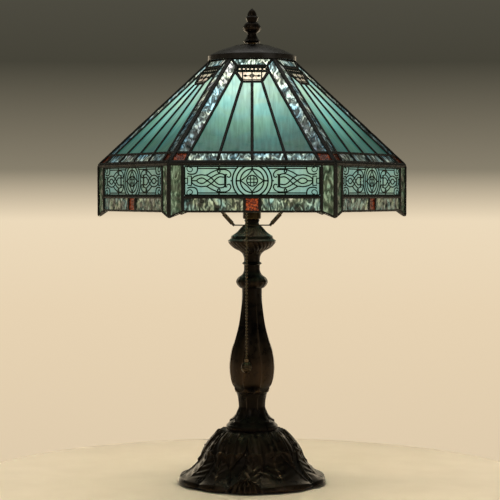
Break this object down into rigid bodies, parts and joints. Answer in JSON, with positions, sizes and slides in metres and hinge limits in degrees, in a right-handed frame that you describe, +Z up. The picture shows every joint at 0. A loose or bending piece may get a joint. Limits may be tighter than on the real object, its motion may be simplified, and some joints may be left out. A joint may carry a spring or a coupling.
{
  "type": "table lamp",
  "caption": "Table lamp: a six-sided leaded glass shade with a pierced filigree band, on a turned bronze stand with an ornate cast base, with a harp, bead pull chain and spear finial",
  "frame": {"origin": "the middle of the felt pad's underside, on the lamp's own axis", "axes": "+Z up, the front of the lamp faces -Y, and the harp and two corners of the shade lie along X"},
  "size_m": [0.406, 0.3516, 0.6254],
  "materials": {
    "bronze": "cast zinc alloy with a dark, rubbed bronze patina",
    "felt": "black felt",
    "iron": "raw cast iron",
    "rubber": "moulded black rubber",
    "steel": "zinc-plated steel",
    "harp_bronze": "steel wire with a dark bronze finish",
    "brass": "darkened brass sheet",
    "chain_brass": "antique brass beads",
    "card": "insulating fibre sleeve",
    "phenolic": "moulded phenolic",
    "nickel": "bright aluminium cap",
    "bulb_white": "frosted bulb glass",
    "bulb_clear": "clear glass stem",
    "lead": "lead came with a black patina",
    "filigree_bronze": "pierced brass sheet with a black patina",
    "teal_glass": "streaky opalescent teal art glass",
    "textured_glass": "clear hammered glass with an iridescent coat",
    "pearl_glass": "pearl pink and cream art glass",
    "pale_glass": "pale grey-green textured glass",
    "red_glass": "orange-red granite-textured glass",
    "cap_black": "spun steel with a dark bronze finish"
  },
  "bodies": {
    "stand": {"felt_pad": "felt", "ballast_ring": "iron", "base_casting": "bronze", "cord_bushing": "rubber", "rod_washer": "steel", "rod_nut": "steel", "lamp_rod": "steel", "column_foot": "bronze", "column_vase": "bronze", "column_knop": "bronze", "crown_bowl": "bronze", "crown_cover": "bronze", "harp_saddle": "harp_bronze", "harp_frame": "harp_bronze", "neck_ring": "bronze", "socket_cap": "brass", "socket_shell": "brass", "socket_liner": "card", "switch_block": "phenolic", "switch_pin": "steel", "lever_spring": "steel", "thread_shell": "brass", "centre_contact": "steel", "chain_guide": "brass"},
    "left_sleeve": {"harp_sleeve_left": "harp_bronze"},
    "right_sleeve": {"harp_sleeve_right": "harp_bronze"},
    "lever": {"switch_lever": "steel"},
    "feed": {"chain_feed": "chain_brass"},
    "corner_bead": {"chain_corner": "chain_brass"},
    "swivel_bead": {"chain_swivel": "chain_brass"},
    "hanging_chain": {"pull_chain": "chain_brass", "chain_cup": "chain_brass", "chain_knob": "chain_brass"},
    "bulb_foot": {"bulb_tip": "nickel"},
    "bulb": {"bulb_cap": "nickel", "bulb_glass": "bulb_white", "bulb_stem": "bulb_clear"},
    "wheel": {"shade_wheel": "brass"},
    "shade": {"upper_came": "lead", "skirt_came": "lead", "hip_strip_glass": "textured_glass", "fan_glass": "teal_glass", "top_light_glass": "textured_glass", "jewel_glass": "pearl_glass", "corner_red_glass": "red_glass", "row_clear_glass": "textured_glass", "band_glass": "teal_glass", "post_glass": "pale_glass", "hem_red_glass": "red_glass", "hem_clear_glass": "textured_glass", "jewel_filigree": "filigree_bronze", "band_filigree": "filigree_bronze", "shade_ring": "brass"},
    "cap": {"heat_cap": "cap_black"},
    "washer": {"finial_washer": "brass"},
    "finial": {"finial": "bronze"}
  },
  "joints": [
    {"name": "chain_pull", "type": "slide", "parent": "stand", "child": "corner_bead", "axis": [0, 0, -1], "range_m": [0, 0.006], "stiffness_N_per_m": 300, "springref_m": -0.01},
    {"name": "feed_slide", "type": "slide", "parent": "stand", "child": "feed", "axis": [-0.1805, -0.9836, 0], "range_m": [0, 0.006]},
    {"name": "lever_swing", "type": "hinge", "parent": "stand", "child": "lever", "pos_m": [-0.00036, -0.00197, 0.3765], "axis": [0.9836, -0.1805, 0], "range_deg": [0, 46.5]},
    {"name": "chain_swing_out", "type": "hinge", "parent": "corner_bead", "child": "swivel_bead", "pos_m": [-0.00704, -0.03836, 0.379], "axis": [-0.9836, 0.1805, 0], "range_deg": [0, 30]},
    {"name": "chain_swing_side", "type": "hinge", "parent": "swivel_bead", "child": "hanging_chain", "pos_m": [-0.00704, -0.03836, 0.379], "axis": [-0.1805, -0.9836, 0], "range_deg": [-20, 20]},
    {"name": "left_sleeve_slide", "type": "slide", "parent": "stand", "child": "left_sleeve", "axis": [-0.6691, 0, 0.7431], "range_m": [0, 0.01]},
    {"name": "right_sleeve_slide", "type": "slide", "parent": "stand", "child": "right_sleeve", "axis": [0.6691, 0, 0.7431], "range_m": [0, 0.01]},
    {"name": "bulb_rise", "type": "slide", "parent": "stand", "child": "bulb_foot", "axis": [0, 0, 1], "range_m": [0, 0.0182]},
    {"name": "bulb_turn", "type": "hinge", "parent": "bulb_foot", "child": "bulb", "pos_m": [0, 0, 0.4], "axis": [0, 0, 1], "range_deg": [0, 1800]},
    {"name": "shade_lift", "type": "slide", "parent": "stand", "child": "wheel", "axis": [0, 0, 1], "range_m": [0, 0.24]},
    {"name": "shade_turn", "type": "hinge", "parent": "wheel", "child": "shade", "pos_m": [0, 0, 0.557], "axis": [0, 0, 1], "continuous": true},
    {"name": "cap_lift", "type": "slide", "parent": "shade", "child": "cap", "axis": [0, 0, 1], "range_m": [0, 0.05]},
    {"name": "finial_rise", "type": "slide", "parent": "cap", "child": "washer", "axis": [0, 0, 1], "range_m": [0, 0.0094]},
    {"name": "finial_turn", "type": "hinge", "parent": "washer", "child": "finial", "pos_m": [0, 0, 0.58], "axis": [0, 0, 1], "range_deg": [0, 3600]}
  ],
  "couplings": [
    {"joint": "feed_slide", "follows": "chain_pull", "ratio": 1},
    {"joint": "lever_swing", "follows": "chain_pull", "rad_per_m": 133.81},
    {"joint": "bulb_turn", "follows": "bulb_rise", "rad_per_m": 1726},
    {"joint": "finial_turn", "follows": "finial_rise", "rad_per_m": 6677}
  ]
}
